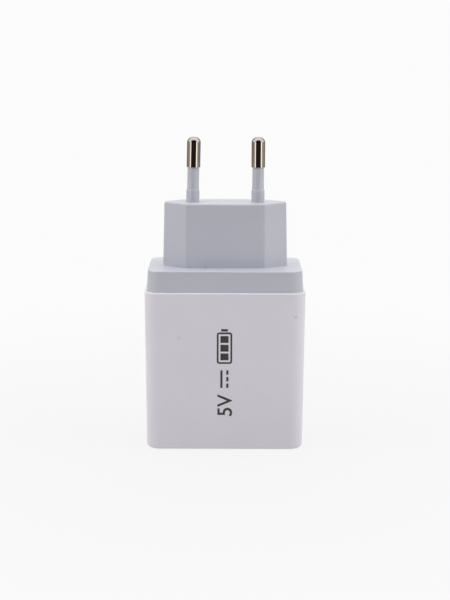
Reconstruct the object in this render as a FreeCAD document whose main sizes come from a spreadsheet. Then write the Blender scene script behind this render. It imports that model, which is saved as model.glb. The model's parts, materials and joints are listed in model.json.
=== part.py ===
"""Multi-port USB wall charger with a flat two-pin plug, standing on its port face.

Millimetres, +Z up along the pins. The origin is the middle of the port face, the printed front
faces -Y, and the circuit board stands upright behind the receptacles, towards +Y.
"""
import FreeCAD, Part
import os
import re
import Sketcher

SIZES = {
    # Main housing, measured at the rim that carries the plug cover
    "body_width": 46.1,
    "body_depth": 28.5,
    "body_height": 46.0,
    "body_draft": 0.55,         # degrees a side, narrowing towards the port face
    "body_corner": 4.0,
    "foot_bevel": 0.6,
    "rim_bevel": 0.3,
    "wall": 2.0,
    "base_wall": 2.0,
    "window_gap": 0.25,         # around each receptacle in its window
    # Guides that hold the board upright in the housing
    "guide_thick": 1.2,
    "guide_reach": 1.0,         # over the edge of the board
    "guide_tall": 30.0,
    "slide_gap": 0.15,
    "ledge_tall": 1.0,
    "ledge_reach": 2.5,
    # Plug cover: collar, eight-sided neck, and the spigot that enters the housing
    "collar_step": 0.7,         # how far the collar stands back from the rim
    "collar_height": 6.1,
    "collar_draft": 2.5,
    "collar_corner": 3.5,
    "collar_bevel": 0.2,
    "neck_width": 35.3,         # at the pin end
    "neck_depth": 13.7,
    "neck_height": 18.4,
    "neck_draft": 1.3,
    "neck_front_flat": 22.5,
    "neck_end_flat": 2.1,
    "facet_round": 1.0,
    "neck_bevel": 0.25,
    "cover_wall": 2.0,
    "neck_end_wall": 3.0,       # at the two narrow ends
    "pin_wall": 3.0,            # the wall that carries the pins
    "spigot_depth": 4.0,
    "spigot_wall": 1.2,
    "spigot_gap": 0.1,
    "hold_thick": 1.2,          # ribs that keep the board down
    "hold_inset": 4.0,
    "hold_gap": 0.2,
    # Contact pins and their moulded sleeves
    "pin_pitch": 18.9,          # where they leave the neck
    "pin_lean": 0.55,           # degrees, towards each other
    "pin_sway": 0.6,            # degrees, both to the right
    "pin_dia": 4.0,
    "pin_length": 18.7,
    "pin_bare": 8.95,
    "pin_tip_round": 1.6,
    "pin_shoulder_bevel": 0.3,
    "core_dia": 2.6,
    "flange_dia": 5.4,
    "flange_thick": 1.0,
    "seat_depth": 0.3,
    "seat_gap": 0.1,
    "tail_dia": 2.4,
    "tail_length": 5.0,
    "cup_dia": 1.6,
    "cup_depth": 3.0,
    "sleeve_dia": 3.42,
    "sleeve_root_dia": 3.82,
    "sleeve_root_tall": 3.2,
    "sleeve_taper_tall": 0.6,
    "bore_gap": 0.05,
    # Circuit board
    "board_thick": 1.6,
    "board_tall": 39.0,
    "board_gap": 0.4,           # to the housing at each side
    "lead_out": 1.0,            # leads stand out of the back by this much
    "lead_gap": 0.15,           # around a lead in its hole
    "part_gap": 0.5,            # between neighbours on the board
    # USB receptacles, mouths towards the port face
    "port_pitch": 12.0,
    "usb_short": 5.72,
    "usb_long": 13.1,
    "usb_length": 12.0,
    "usb_sheet": 0.3,
    "usb_corner": 0.6,
    "usb_mouth": 0.4,           # set back from the port face
    "spring_wide": 2.2,         # slots of the gripping springs
    "spring_long": 5.0,
    "spring_place": 3.2,
    "spring_start": 2.0,
    "spring_gap": 0.3,          # around each spring in its slot
    "spring_crest": 1.2,        # from the free end to where it grips
    "spring_dip": 0.35,
    "tab_wide": 1.5,
    "tab_low": 4.6,
    "tab_high": 9.6,
    "block_depth": 3.2,
    "tongue_thick": 1.84,
    "tongue_wide": 11.1,
    "tongue_shift": 1.03,
    "tongue_setback": 1.2,
    "fit_gap": 0.05,
    "contact_thick": 0.25,
    "contact_wide": 1.0,
    "contact_inner": 1.0,
    "contact_outer": 3.5,
    "contact_setback": 0.6,
    "contact_lag": 1.0,         # the inner pair starts later
    "contact_tail": 0.6,
    "contact_rise": 0.8,
    "contact_step": 1.0,
    # Transformer
    "transformer_gap": 4.0,
    "core_width": 16.0,
    "core_half": 7.0,
    "core_thick": 5.0,
    "core_leg": 2.4,
    "core_middle": 4.0,
    "core_back": 2.2,
    "core_centre": 7.5,         # off the board
    "bobbin_wall": 0.8,
    "bobbin_gap": 0.1,
    "bobbin_flange": 0.8,
    "bobbin_rim": 0.6,          # flange beyond the winding
    "winding_thick": 2.0,
    "winding_round": 1.2,
    "rail_width": 13.0,
    "rail_depth": 3.0,
    "rail_tall": 4.0,
    "terminal_thick": 0.6,
    "terminal_pitch": 3.5,
    "terminal_sunk": 2.5,
    # Electrolytic cans
    "bulk_dia": 8.0,
    "bulk_tall": 13.0,
    "bulk_pitch": 3.5,
    "output_dia": 6.3,
    "output_tall": 9.0,
    "output_pitch": 2.5,
    "crimp_rise": 1.2,
    "crimp_depth": 0.35,
    "can_bevel": 0.4,
    "can_lead": 0.6,             # square
    # Drum choke
    "choke_dia": 8.0,
    "choke_tall": 9.5,
    "choke_flange": 1.4,
    "choke_waist": 3.6,
    "choke_wire": 1.5,
    "choke_pitch": 5.0,
    # Disc capacitor
    "disc_dia": 6.5,
    "disc_thick": 3.0,
    "disc_bevel": 0.9,
    "disc_lift": 0.8,
    "disc_pitch": 4.0,
    # Moulded packages with bent legs
    "chip_lift": 0.2,
    "opto_across": 6.4,
    "opto_along": 4.6,
    "opto_tall": 3.3,
    "opto_span": 8.0,
    "opto_pitch": 2.54,
    "opto_leg_wide": 0.5,
    "opto_leg_thick": 0.3,
    "bridge_across": 3.9,
    "bridge_along": 4.7,
    "bridge_tall": 2.4,
    "bridge_span": 7.0,
    "bridge_pitch": 2.5,
    "bridge_leg_wide": 0.7,
    "bridge_leg_thick": 0.25,
    "chip_across": 3.9,
    "chip_along": 4.9,
    "chip_tall": 1.45,
    "chip_span": 6.0,
    "chip_pitch": 1.27,
    "chip_leg_wide": 0.42,
    "chip_leg_thick": 0.2,
    # Fuse and wires
    "top_gap": 1.6,             # between the fuse and the rectifier
    "fuse_dia": 3.0,
    "fuse_body": 5.6,
    "fuse_cap": 1.2,
    "fuse_cap_rim": 0.15,
    "fuse_span": 7.4,
    "fuse_lead": 0.6,
    "wire_dia": 1.6,
    "wire_core_dia": 1.0,
    "wire_bend": 4.0,
    "wire_drop": 2.0,           # below the top edge of the board
    "wire_strip": 0.5,          # bare wire seen at each end
}

# Formulas that several pieces share
NECK_FOOT = "(body_height + collar_height)"
NECK_TOP = "(body_height + collar_height + neck_height)"
COVER_ROOF = "(body_height + collar_height - cover_wall)"
INNER_HALF_WIDTH = "(body_width / 2 - wall)"
INNER_HALF_DEPTH = "(body_depth / 2 - wall)"
SPIGOT_HALF_WIDTH = "(body_width / 2 - wall - spigot_gap - spigot_depth * tan(body_draft))"
SPIGOT_HALF_DEPTH = "(body_depth / 2 - wall - spigot_gap - spigot_depth * tan(body_draft))"
FLOOR_HALF_WIDTH = "(body_width / 2 - wall - (body_height - base_wall) * tan(body_draft))"
BOARD_HALF = f"({FLOOR_HALF_WIDTH} - board_gap)"
BOARD_FRONT = "(usb_long / 2)"
BOARD_BACK = f"({BOARD_FRONT} + board_thick)"
BOARD_FOOT = "(base_wall + ledge_tall)"
BOARD_TOP = f"({BOARD_FOOT} + board_tall)"
LEAD_LENGTH = "(board_thick + lead_out)"
FLANGE_TOP = "(pin_wall - seat_depth)"
TAIL_END = f"({FLANGE_TOP} + flange_thick + tail_length)"
WIRE_Z = f"({BOARD_TOP} - wire_drop)"
CONTACT_X = "(tongue_shift - tongue_thick / 2 - contact_thick / 2)"
TAILS_TOP = "(usb_mouth + usb_length + contact_rise + 3 * contact_step + contact_tail / 2)"
COLUMN_X = f"((core_width / 2 + {BOARD_HALF} - guide_reach) / 2)"
TRANSFORMER_Z = f"({TAILS_TOP} + transformer_gap + core_half)"
OUTPUT_Z = f"({TAILS_TOP} + part_gap + output_dia / 2)"
BULK_LOW_Z = f"({OUTPUT_Z} + output_dia / 2 + part_gap + bulk_dia / 2)"
BULK_HIGH_Z = f"({BULK_LOW_Z} + bulk_dia + part_gap)"
DISC_Z = f"({OUTPUT_Z} + output_dia / 2 + part_gap + disc_thick / 2)"
OPTO_Z = f"({DISC_Z} + disc_thick / 2 + part_gap + opto_along / 2)"
CHOKE_Z = f"({OPTO_Z} + opto_along / 2 + part_gap + choke_dia / 2)"
TOP_ROW_Z = f"({TRANSFORMER_Z} + core_half + part_gap + bridge_along / 2)"
BRIDGE_X = "(top_gap / 2 + bridge_span / 2)"
FUSE_X = "(-(top_gap / 2 + fuse_span / 2))"
BOBBIN_HALF = "(core_half - core_back - bobbin_gap)"
TUBE_HALF_X = "(core_middle / 2 + bobbin_gap + bobbin_wall)"
TUBE_HALF_Z = "(core_thick / 2 + bobbin_gap + bobbin_wall)"
RAIL_INNER = f"({BOBBIN_HALF} - bobbin_flange)"

PORTS = (1, 2, 3)
LEFT, RIGHT = -1, 1
TILT = {LEFT: "(pin_sway + pin_lean)", RIGHT: "(pin_sway - pin_lean)"}     # towards +X
ALIAS = re.compile(r"[a-z_]+")
SLOTS_TOGETHER = 8              # in one sketch of the board, since small sketches solve faster
TOUCH = 1e-4                    # two heights closer than this are the same
RISE = 0.5                      # an edge that climbs more than this is a corner

doc = FreeCAD.newDocument("UsbWallCharger")
sheet = doc.addObject("Spreadsheet::Sheet", "Sizes")
nodes = []
round_holes = []                # (x, z, radius) of each drilled hole in the board
slots = []                      # (x, z, half width, half height) of each slot in the board


def fill_sheet():
    """One row for each driving size: its name, and the number under that alias."""
    for row, (alias, number) in enumerate(SIZES.items(), start=1):
        sheet.set(f"A{row}", alias)
        sheet.set(f"B{row}", str(number))
        sheet.setAlias(f"B{row}", alias)
    doc.recompute()


def bound(formula):
    """A formula over plain aliases, as an expression over the sheet."""
    return ALIAS.sub(lambda word: f"Sizes.{word[0]}" if word[0] in SIZES else word[0], formula)


def value(formula):
    """The present number of a formula."""
    return float(sheet.evalExpression(bound(formula)))


def new_body(label, x="0", y="0", z="0", rotation=None):
    """A sub-part whose own origin stands at x, y, z."""
    body = doc.addObject("PartDesign::Body", label)
    body.Label = label
    body.Placement = FreeCAD.Placement(FreeCAD.Vector(), rotation or FreeCAD.Rotation())
    for axis, formula in (("x", x), ("y", y), ("z", z)):
        body.setExpression(f"Placement.Base.{axis}", bound(formula))
    nodes.append(body)
    return body


def on_board(label, x, z, back=False):
    """A sub-part on the board's front or back, its own +Z pointing away from the board."""
    turn = FreeCAD.Rotation(FreeCAD.Vector(1, 0, 0), -90 if back else 90)
    return new_body(label, x, BOARD_BACK if back else BOARD_FRONT, z, turn)


def sketch_on(body, plane, name, lift="0"):
    """An empty sketch on one of the body's own planes, moved along its normal."""
    sketch = body.newObject("Sketcher::SketchObject", name)
    support = next(feature for feature in body.Origin.OriginFeatures if feature.Role == plane)
    sketch.AttachmentSupport = [(support, "")]
    sketch.MapMode = "FlatFace"
    sketch.setExpression("AttachmentOffset.Base.z", bound(lift))
    return sketch


def hold_point(sketch, geometry, position, x, y):
    """Fix one point of a sketch by a formula for each coordinate, or leave one free as None."""
    for kind, axis, formula in (("DistanceX", -2, x), ("DistanceY", -1, y)):
        if formula is None:
            continue
        if formula == "0":
            sketch.addConstraint(Sketcher.Constraint("PointOnObject", geometry, position, axis))
            continue
        distance = Sketcher.Constraint(kind, -1, 1, geometry, position, value(formula))
        number = sketch.addConstraint(distance)
        sketch.setExpression(f"Constraints[{number}]", bound(formula))


def polygon(sketch, corners, arcs=None):
    """A closed outline through corners given as pairs of formulas.

    arcs gives the centre of each side that is round, by the number of the corner it starts at.
    """
    arcs = arcs or {}
    points = [FreeCAD.Vector(value(x), value(y), 0) for x, y in corners]
    first = sketch.GeometryCount
    count = len(corners)
    for place, (here, there) in enumerate(zip(points, points[1:] + points[:1])):
        if place not in arcs:
            sketch.addGeometry(Part.LineSegment(here, there))
            continue
        centre_x, centre_y = arcs[place]
        centre = FreeCAD.Vector(value(centre_x), value(centre_y), 0)
        outward = (here + there) * 0.5 - centre
        middle = centre + outward * (centre.distanceToPoint(here) / outward.Length)
        sketch.addGeometry(Part.Arc(here, middle, there))
        hold_point(sketch, first + place, 3, centre_x, None)
    for place, (x, y) in enumerate(corners):
        after = first + (place + 1) % count
        sketch.addConstraint(Sketcher.Constraint("Coincident", first + place, 2, after, 1))
        hold_point(sketch, first + place, 1, x, y)


def span(sketch, left, right, low, high):
    """A rectangle between two formulas each way."""
    polygon(sketch, [(left, low), (right, low), (right, high), (left, high)])


def rectangle(sketch, half_x, half_y, x="0", y="0"):
    """A rectangle about a centre."""
    span(sketch, f"{x} - ({half_x})", f"{x} + ({half_x})", f"{y} - ({half_y})", f"{y} + ({half_y})")


def circle(sketch, radius, x="0", y="0"):
    """A circle about a centre."""
    centre = FreeCAD.Vector(value(x), value(y), 0)
    up = FreeCAD.Vector(0, 0, 1)
    number = sketch.addGeometry(Part.Circle(centre, up, value(radius)))
    hold_point(sketch, number, 3, x, y)
    size = sketch.addConstraint(Sketcher.Constraint("Radius", number, value(radius)))
    sketch.setExpression(f"Constraints[{size}]", bound(radius))


def extrude(kind, body, sketch, length, taper=None, flip=False, both=False):
    """A Pad or a Pocket of a sketch, with an optional draft."""
    feature = body.newObject(f"PartDesign::{kind}", sketch.Name + kind)
    feature.Profile = sketch
    feature.setExpression("Length", bound(length))
    feature.Reversed = flip
    if both:
        feature.SideType = "Symmetric"
    if taper:
        feature.setExpression("TaperAngle", bound(taper))
    doc.recompute()
    return feature


def pad(body, sketch, length, **options):
    return extrude("Pad", body, sketch, length, **options)


def pocket(body, sketch, length, **options):
    before = body.Tip.Shape.Volume
    feature = extrude("Pocket", body, sketch, length, **options)
    if feature.Shape.Volume > before - TOUCH:
        raise RuntimeError(f"{feature.Name} cuts nothing")
    return feature


def revolve(body, sketch):
    """A full turn of a sketch about its own upright axis."""
    feature = body.newObject("PartDesign::Revolution", sketch.Name + "Turn")
    feature.Profile = sketch
    feature.ReferenceAxis = (sketch, ["V_Axis"])
    feature.Angle = 360
    doc.recompute()
    return feature


def round_edges(body, radius, wanted):
    """A fillet on the edges of the body so far that pass a test."""
    base = body.Tip
    edges = enumerate(base.Shape.Edges, start=1)
    names = [f"Edge{number}" for number, edge in edges if wanted(edge)]
    feature = body.newObject("PartDesign::Fillet", base.Name + "Round")
    feature.Base = (base, names)
    feature.setExpression("Radius", bound(radius))
    doc.recompute()


def bevel_edges(body, size, wanted):
    """A chamfer on the edges of the body so far that pass a test."""
    base = body.Tip
    edges = enumerate(base.Shape.Edges, start=1)
    names = [f"Edge{number}" for number, edge in edges if wanted(edge)]
    feature = body.newObject("PartDesign::Chamfer", base.Name + "Bevel")
    feature.Base = (base, names)
    feature.setExpression("Size", bound(size))
    doc.recompute()


def draft_walls(body, angle, hinge, wanted, flip=False):
    """Lean the chosen upright walls about the flat face at a height, where they keep their place."""
    base = body.Tip
    level = value(hinge)
    neutral = None
    walls = []
    for number, face in enumerate(base.Shape.Faces, start=1):
        box = face.BoundBox
        if box.ZLength < TOUCH and abs(box.ZMin - level) < TOUCH:
            neutral = f"Face{number}"
        elif box.ZLength > RISE and wanted(box):
            walls.append(f"Face{number}")
    feature = body.newObject("PartDesign::Draft", base.Name + "Draft")
    feature.Base = (base, walls)
    feature.NeutralPlane = (base, [neutral])
    feature.Reversed = flip
    feature.setExpression("Angle", bound(angle))
    doc.recompute()


def between(low, high):
    """A test for walls that reach from one height to another."""
    bottom, top = value(low), value(high)
    return lambda box: abs(box.ZMin - bottom) < TOUCH and abs(box.ZMax - top) < TOUCH


def corner(edge):
    """An edge that climbs from one level to another."""
    return abs(edge.Vertexes[0].Z - edge.Vertexes[-1].Z) > RISE


def flat_at(height):
    """A test for edges that lie at one height."""
    level = value(height)
    return lambda edge: all(abs(vertex.Z - level) < TOUCH for vertex in edge.Vertexes)


def corner_within(half_x, half_y):
    """A test for upright corners inside an outline, such as those of a cavity."""
    width, depth = value(half_x), value(half_y)

    def wanted(edge):
        start = edge.Vertexes[0]
        return corner(edge) and abs(start.X) < width and abs(start.Y) < depth
    return wanted


def drop_leads(body, x, z, pitch, start="0"):
    """Two square leads from a height in a component through the board, and their slots."""
    leads = sketch_on(body, "XY_Plane", "leads", start)
    for sign in (-1, 1):
        place = f"{sign} * {pitch} / 2"
        rectangle(leads, "can_lead / 2", "can_lead / 2", place)
        slots.append((f"{x} + {place}", z, "can_lead / 2 + lead_gap", "can_lead / 2 + lead_gap"))
    pad(body, leads, f"{start} + {LEAD_LENGTH}", flip=True)


def port_x(number):
    return f"({number - 2} * port_pitch)"


def main_housing():
    """Drafted shell with a window for each receptacle, and grooves that hold the board."""
    body = new_body("main_housing")
    outside = sketch_on(body, "XY_Plane", "rim_outline", "body_height")
    rectangle(outside, "body_width / 2", "body_depth / 2")
    pad(body, outside, "body_height", flip=True)
    draft_walls(body, "body_draft", "body_height", between("0", "body_height"), flip=True)
    round_edges(body, "body_corner", corner)
    bevel_edges(body, "foot_bevel", flat_at("0"))
    bevel_edges(body, "rim_bevel", flat_at("body_height"))

    hollow = sketch_on(body, "XY_Plane", "hollow", "body_height")
    rectangle(hollow, INNER_HALF_WIDTH, INNER_HALF_DEPTH)
    pocket(body, hollow, "body_height - base_wall")
    draft_walls(body, "body_draft", "body_height", between("base_wall", "body_height"))
    within = corner_within("body_width / 2 - wall / 2", "body_depth / 2 - wall / 2")
    round_edges(body, "body_corner - wall", within)

    windows = sketch_on(body, "XY_Plane", "windows", "base_wall")
    for number in PORTS:
        rectangle(windows, "usb_short / 2 + window_gap", "usb_long / 2 + window_gap", port_x(number))
    pocket(body, windows, "base_wall")

    groove_front = f"{BOARD_FRONT} - slide_gap"
    groove_back = f"{BOARD_BACK} + slide_gap"
    in_wall = f"({FLOOR_HALF_WIDTH} + wall / 2)"
    guides = sketch_on(body, "XY_Plane", "guides", "base_wall")
    ledges = sketch_on(body, "XY_Plane", "ledges", "base_wall")
    for sign in (LEFT, RIGHT):
        grip = f"{sign} * ({BOARD_HALF} - guide_reach)"
        seat = f"{sign} * ({BOARD_HALF} - ledge_reach)"
        outer = f"{sign} * {in_wall}"
        span(guides, grip, outer, f"{groove_front} - guide_thick", groove_front)
        span(guides, grip, outer, groove_back, f"{groove_back} + guide_thick")
        span(ledges, seat, outer, f"{groove_front} - guide_thick", f"{groove_back} + guide_thick")
    pad(body, guides, "guide_tall")
    pad(body, ledges, "ledge_tall")


def plug_cover():
    """Collar and eight-sided plug neck in one moulding, hollow, with a spigot for the housing."""
    body = new_body("plug_cover")
    front_x = "neck_front_flat / 2"
    end_y = "neck_end_flat / 2"
    neck = sketch_on(body, "XY_Plane", "neck_outline", NECK_TOP)
    eight_sides(neck, front_x, "neck_depth / 2", "neck_width / 2", end_y)
    pad(body, neck, "neck_height", flip=True)
    draft_walls(body, "neck_draft", NECK_TOP, between(NECK_FOOT, NECK_TOP))
    round_edges(body, "facet_round", corner)
    bevel_edges(body, "neck_bevel", flat_at(NECK_TOP))

    collar = sketch_on(body, "XY_Plane", "collar_outline", "body_height")
    rectangle(collar, "body_width / 2 - collar_step", "body_depth / 2 - collar_step")
    pad(body, collar, "collar_height")
    draft_walls(body, "collar_draft", "body_height", between("body_height", NECK_FOOT))
    round_edges(body, "collar_corner", collar_edges(corner))
    bevel_edges(body, "collar_bevel", collar_edges(flat_at(NECK_FOOT)))

    spigot = sketch_on(body, "XY_Plane", "spigot", "body_height")
    rectangle(spigot, SPIGOT_HALF_WIDTH, SPIGOT_HALF_DEPTH)
    pad(body, spigot, "spigot_depth", flip=True)
    round_edges(body, "body_corner - wall - spigot_gap", spigot_corner)

    room = sketch_on(body, "XY_Plane", "collar_room", COVER_ROOF)
    rectangle(room, f"{SPIGOT_HALF_WIDTH} - spigot_wall", f"{SPIGOT_HALF_DEPTH} - spigot_wall")
    pocket(body, room, "collar_height - cover_wall + spigot_depth")

    slope = "((neck_depth - neck_end_flat) / (neck_width - neck_front_flat))"
    inner_front_x = f"(neck_front_flat / 2 - cover_wall * tan(atan({slope}) / 2))"
    inner_front_y = "(neck_depth / 2 - cover_wall)"
    inner_end_x = "(neck_width / 2 - neck_end_wall)"
    inner_end_y = f"({inner_front_y} - ({inner_end_x} - {inner_front_x}) * {slope})"
    neck_room = sketch_on(body, "XY_Plane", "neck_room", f"{NECK_TOP} - pin_wall")
    eight_sides(neck_room, inner_front_x, inner_front_y, inner_end_x, inner_end_y)
    pocket(body, neck_room, "neck_height - pin_wall + cover_wall", taper="neck_draft")

    ribs = sketch_on(body, "XY_Plane", "hold_ribs", COVER_ROOF)
    for sign in (LEFT, RIGHT):
        middle = f"{sign} * ({BOARD_HALF} - hold_inset)"
        in_spigot = f"{SPIGOT_HALF_DEPTH} - spigot_wall / 2"
        span(ribs, f"{middle} - hold_thick / 2", f"{middle} + hold_thick / 2", BOARD_FRONT, in_spigot)
    pad(body, ribs, f"{COVER_ROOF} - {BOARD_TOP} - hold_gap", flip=True)

    for sign in (LEFT, RIGHT):
        bore(body, "pin_bore", sign, "sleeve_root_dia / 2 + bore_gap", "-pin_wall")
        bore(body, "pin_seat", sign, "flange_dia / 2 + seat_gap", FLANGE_TOP)


def eight_sides(sketch, front_x, front_y, end_x, end_y):
    """The plug outline: wide flats front and back, short flats at the ends, facets between."""
    quarter = [(front_x, front_y), (end_x, end_y)]
    turns = ((1, 1, quarter), (1, -1, quarter[::-1]), (-1, -1, quarter), (-1, 1, quarter[::-1]))
    corners = []
    for sign_x, sign_y, ends in turns:
        corners += [(f"{sign_x} * {x}", f"{sign_y} * {y}") for x, y in ends]
    polygon(sketch, corners)


def collar_edges(wanted):
    """Narrow a test to edges beyond the neck, on the collar's own outline."""
    neck_half_depth = value("neck_depth / 2 + neck_height * tan(neck_draft)")
    neck_half_width = value("neck_width / 2 + neck_height * tan(neck_draft)")

    def on_collar(edge):
        start = edge.Vertexes[0]
        outside = abs(start.Y) > neck_half_depth + TOUCH or abs(start.X) > neck_half_width + TOUCH
        return outside and wanted(edge)
    return on_collar


def spigot_corner(edge):
    """An upright corner below the rim."""
    return corner(edge) and all(vertex.Z < value("body_height") + TOUCH for vertex in edge.Vertexes)


def lean(sign):
    """The turn that leans the left or the right pin."""
    return FreeCAD.Rotation(FreeCAD.Vector(0, 1, 0), value(TILT[sign]))


def bore(body, name, sign, radius, start):
    """A round hole on a pin's axis, from a depth below the neck's end until it is clear of the wall."""
    end = "2 * pin_wall"
    hole = body.newObject("PartDesign::SubtractiveCylinder", name)
    hole.Placement = FreeCAD.Placement(FreeCAD.Vector(), lean(sign))
    hole.setExpression("Radius", bound(radius))
    hole.setExpression("Height", bound(f"{end} - ({start})"))
    hole.setExpression("Placement.Base.x", bound(f"{sign} * pin_pitch / 2 - {end} * sin({TILT[sign]})"))
    hole.setExpression("Placement.Base.z", bound(f"{NECK_TOP} - {end} * cos({TILT[sign]})"))
    doc.recompute()


def contact_pin(name, sign):
    """Turned pin: rounded tip, core under the sleeve, flange on its seat, solder cup."""
    body = new_body(f"pin_{name}", f"{sign} * pin_pitch / 2", "0", NECK_TOP, lean(sign))
    flange_low = f"-({FLANGE_TOP} + flange_thick)"
    tail_low = f"-{TAIL_END}"
    cup_top = f"-{TAIL_END} + cup_depth"
    section = sketch_on(body, "XZ_Plane", "section")
    shoulder = "pin_length - pin_bare"
    tip_x, tip_z = "pin_dia / 2 - pin_tip_round", "pin_length - pin_tip_round"
    profile = [
        ("0", cup_top),
        ("cup_dia / 2", cup_top),
        ("cup_dia / 2", tail_low),
        ("tail_dia / 2", tail_low),
        ("tail_dia / 2", flange_low),
        ("flange_dia / 2", flange_low),
        ("flange_dia / 2", f"-{FLANGE_TOP}"),
        ("core_dia / 2", f"-{FLANGE_TOP}"),
        ("core_dia / 2", shoulder),
        ("pin_dia / 2 - pin_shoulder_bevel", shoulder),
        ("pin_dia / 2", f"{shoulder} + pin_shoulder_bevel"),
        ("pin_dia / 2", tip_z),
        (tip_x, "pin_length"),
        ("0", "pin_length"),
    ]
    polygon(section, profile, arcs={profile.index(("pin_dia / 2", tip_z)): (tip_x, tip_z)})
    revolve(body, section)


def pin_sleeve(name, sign):
    """Moulded sleeve with a thicker root, from the pin's flange up to its bare tip."""
    body = new_body(f"sleeve_{name}", f"{sign} * pin_pitch / 2", "0", NECK_TOP, lean(sign))
    section = sketch_on(body, "XZ_Plane", "section")
    polygon(section, [
        ("core_dia / 2", "pin_length - pin_bare"),
        ("sleeve_dia / 2", "pin_length - pin_bare"),
        ("sleeve_dia / 2", "sleeve_root_tall + sleeve_taper_tall"),
        ("sleeve_root_dia / 2", "sleeve_root_tall"),
        ("sleeve_root_dia / 2", f"-{FLANGE_TOP}"),
        ("core_dia / 2", f"-{FLANGE_TOP}"),
    ])
    revolve(body, section)


def usb_shell(number):
    """Folded sheet tube, open at both ends, with springs in slots and four tabs into the board."""
    body = new_body(f"usb_shell_{number}", port_x(number), "0", "usb_mouth")
    outside = sketch_on(body, "XY_Plane", "outside")
    rectangle(outside, "usb_short / 2", "usb_long / 2")
    pad(body, outside, "usb_length")
    round_edges(body, "usb_corner", corner)
    inside = sketch_on(body, "XY_Plane", "inside", "usb_length")
    rectangle(inside, "usb_short / 2 - usb_sheet", "usb_long / 2 - usb_sheet")
    pocket(body, inside, "usb_length")
    springs = sketch_on(body, "YZ_Plane", "spring_slots")
    for sign in (-1, 1):
        middle = f"{sign} * spring_place"
        span(springs, f"{middle} - spring_wide / 2", f"{middle} + spring_wide / 2",
             "spring_start", "spring_start + spring_long")
    pocket(body, springs, "2 * usb_short", both=True)
    for sign in (-1, 1):
        leaves = sketch_on(body, "XZ_Plane", "springs", f"{sign} * spring_place")
        spring_leaf(leaves, 1)
        spring_leaf(leaves, -1)
        pad(body, leaves, "spring_wide - 2 * spring_gap", both=True)
    tabs = sketch_on(body, "XZ_Plane", "tabs", "usb_sheet - usb_long / 2")
    for sign in (-1, 1):
        for level in ("tab_low", "tab_high"):
            inner = f"{sign} * (usb_short / 2 - usb_sheet)"
            outer = f"{sign} * usb_short / 2"
            span(tabs, inner, outer, f"{level} - tab_wide / 2", f"{level} + tab_wide / 2")
            middle = f"{port_x(number)} + {sign} * (usb_short - usb_sheet) / 2"
            slots.append((middle, f"usb_mouth + {level}", "usb_sheet / 2 + lead_gap",
                          "tab_wide / 2 + lead_gap"))
    pad(body, tabs, f"usb_sheet + {LEAD_LENGTH}", flip=True)


def spring_leaf(sketch, sign):
    """A bent leaf from the far end of its slot, dipping into the mouth and out again."""
    root = "spring_start + spring_long"
    tip = "spring_start + spring_gap"
    crest = f"{tip} + spring_crest"
    outside = [("usb_short / 2", root), ("usb_short / 2 - spring_dip", crest), ("usb_short / 2", tip)]
    inside = [(f"{place} - usb_sheet", height) for place, height in outside]
    polygon(sketch, [(f"{sign} * ({place})", height) for place, height in outside + inside[::-1]])


def contact_rows():
    """Each contact's place across the tongue, its start and its tail, nearest the board first."""
    outer_start = "tongue_setback + contact_setback"
    inner_start = f"{outer_start} + contact_lag"
    places = (("contact_outer", outer_start), ("contact_inner", inner_start),
              ("-contact_inner", inner_start), ("-contact_outer", outer_start))
    for step, (place, start) in enumerate(places):
        yield place, start, f"usb_length + contact_rise + {step} * contact_step"


def usb_tongue(number):
    """Moulded rear block that fills the shell, with the tongue that carries the contacts."""
    body = new_body(f"usb_tongue_{number}", port_x(number), "0", "usb_mouth")
    block_start = "usb_length - block_depth"
    block = sketch_on(body, "XY_Plane", "rear_block", block_start)
    clear = "usb_sheet + fit_gap"
    rectangle(block, f"usb_short / 2 - ({clear})", f"usb_long / 2 - ({clear})")
    pad(body, block, "block_depth")
    tongue = sketch_on(body, "XY_Plane", "tongue", block_start)
    rectangle(tongue, "tongue_thick / 2", "tongue_wide / 2", "tongue_shift")
    pad(body, tongue, f"{block_start} - tongue_setback", flip=True)
    passages = sketch_on(body, "XY_Plane", "contact_passages", "usb_length")
    for place, _, _ in contact_rows():
        rectangle(passages, "contact_thick / 2 + fit_gap", "contact_wide / 2 + fit_gap", CONTACT_X, place)
    pocket(body, passages, "block_depth")


def usb_contacts(number):
    """Four flat stampings on the tongue, each turning towards the board behind the shell."""
    body = new_body(f"usb_contacts_{number}", port_x(number), "0", "usb_mouth")
    body.AllowCompound = True
    reach = f"{BOARD_BACK} + lead_out"
    stampings = sketch_on(body, "YZ_Plane", "stampings", f"{CONTACT_X} - contact_thick / 2")
    for place, start, tail in contact_rows():
        near = f"{place} - contact_wide / 2"
        far = f"{place} + contact_wide / 2"
        low = f"{tail} - contact_tail / 2"
        high = f"{tail} + contact_tail / 2"
        polygon(stampings, [(near, start), (far, start), (far, low),
                            (reach, low), (reach, high), (near, high)])
        slots.append((f"{port_x(number)} + {CONTACT_X}", f"usb_mouth + {tail}",
                      "contact_thick / 2 + lead_gap", "contact_tail / 2 + lead_gap"))
    pad(body, stampings, "contact_thick")


def transformer_core(label, sign):
    """One E-shaped ferrite half, its legs meeting the other half at the middle."""
    body = on_board(label, "0", TRANSFORMER_Z)
    half = "core_width / 2"
    middle = "core_middle / 2"
    leg = f"({half} - core_leg)"
    back = f"{sign} * (core_half - core_back)"
    end = f"{sign} * core_half"
    outline = sketch_on(body, "XY_Plane", "e_outline", "core_centre - core_thick / 2")
    polygon(outline, [
        (f"-{half}", "0"), (f"-{leg}", "0"), (f"-{leg}", back), (f"-{middle}", back),
        (f"-{middle}", "0"), (middle, "0"), (middle, back), (leg, back),
        (leg, "0"), (half, "0"), (half, end), (f"-{half}", end),
    ])
    pad(body, outline, "core_thick")


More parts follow.
